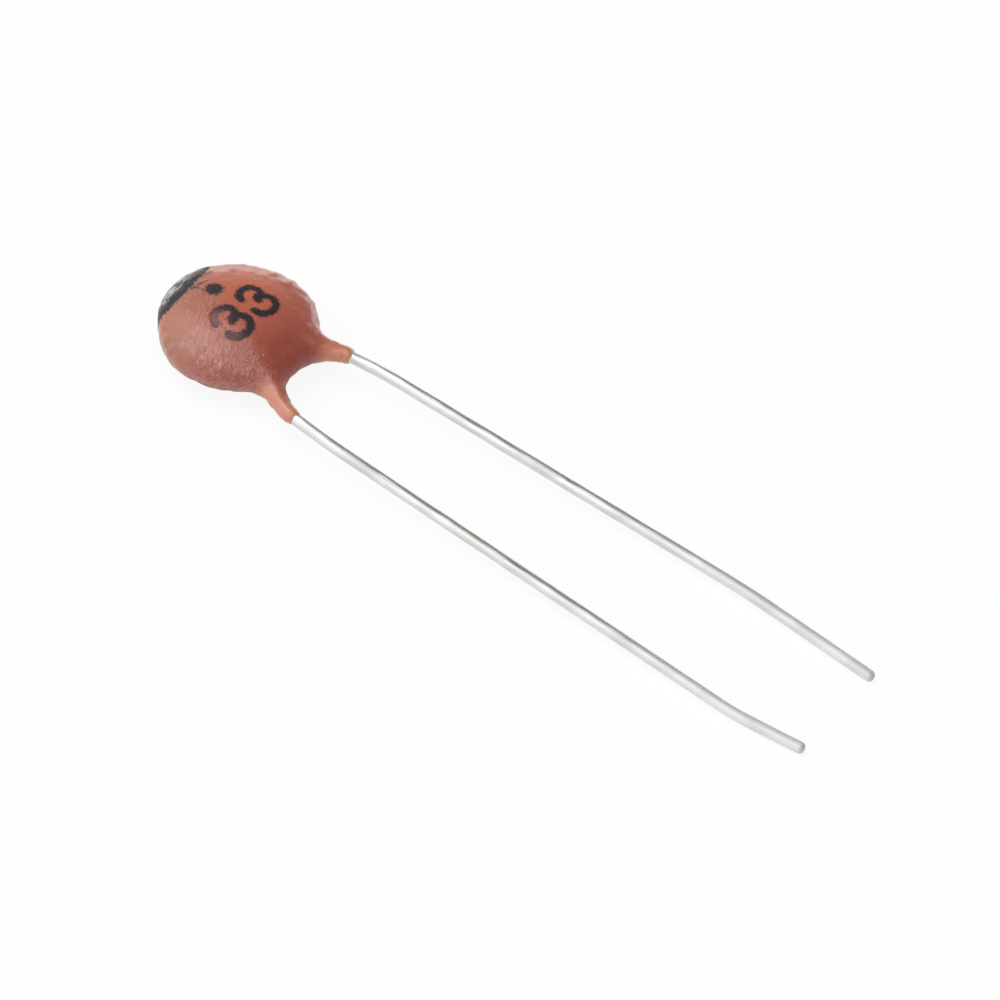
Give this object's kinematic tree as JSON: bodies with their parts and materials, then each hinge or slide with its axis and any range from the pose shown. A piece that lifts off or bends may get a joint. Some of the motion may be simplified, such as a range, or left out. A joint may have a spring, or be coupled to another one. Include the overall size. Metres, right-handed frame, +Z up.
{
  "type": "ceramic disc capacitor",
  "caption": "Small domed ceramic disc capacitor in a dipped terracotta coating with flared legs and long tinned wire leads, lying flat.",
  "frame": {"origin": "on the plane that the part lies on, midway along its overall length and on the disc's centre line", "axes": "+X from the disc towards the lead tips, +Z up from the plane it lies on, +Y towards the left lead, seen from above with the leads pointing away"},
  "size_m": [0.0346, 0.0068, 0.0026],
  "materials": {
    "coating": "dipped phenolic resin, satin with a fine orange-peel grain",
    "ceramic": "fired titanate ceramic, matt",
    "silver": "thin fired silver, matt",
    "solder": "solder, satin",
    "tinned_wire": "hot-dipped tin on wire, bright and slightly uneven"
  },
  "bodies": {
    "root": {"coating": "coating", "ceramic_disc": "ceramic", "electrode_top": "silver", "electrode_bottom": "silver", "solder_top": "solder", "solder_bottom": "solder", "lead_left": "tinned_wire", "lead_right": "tinned_wire"}
  },
  "joints": []
}
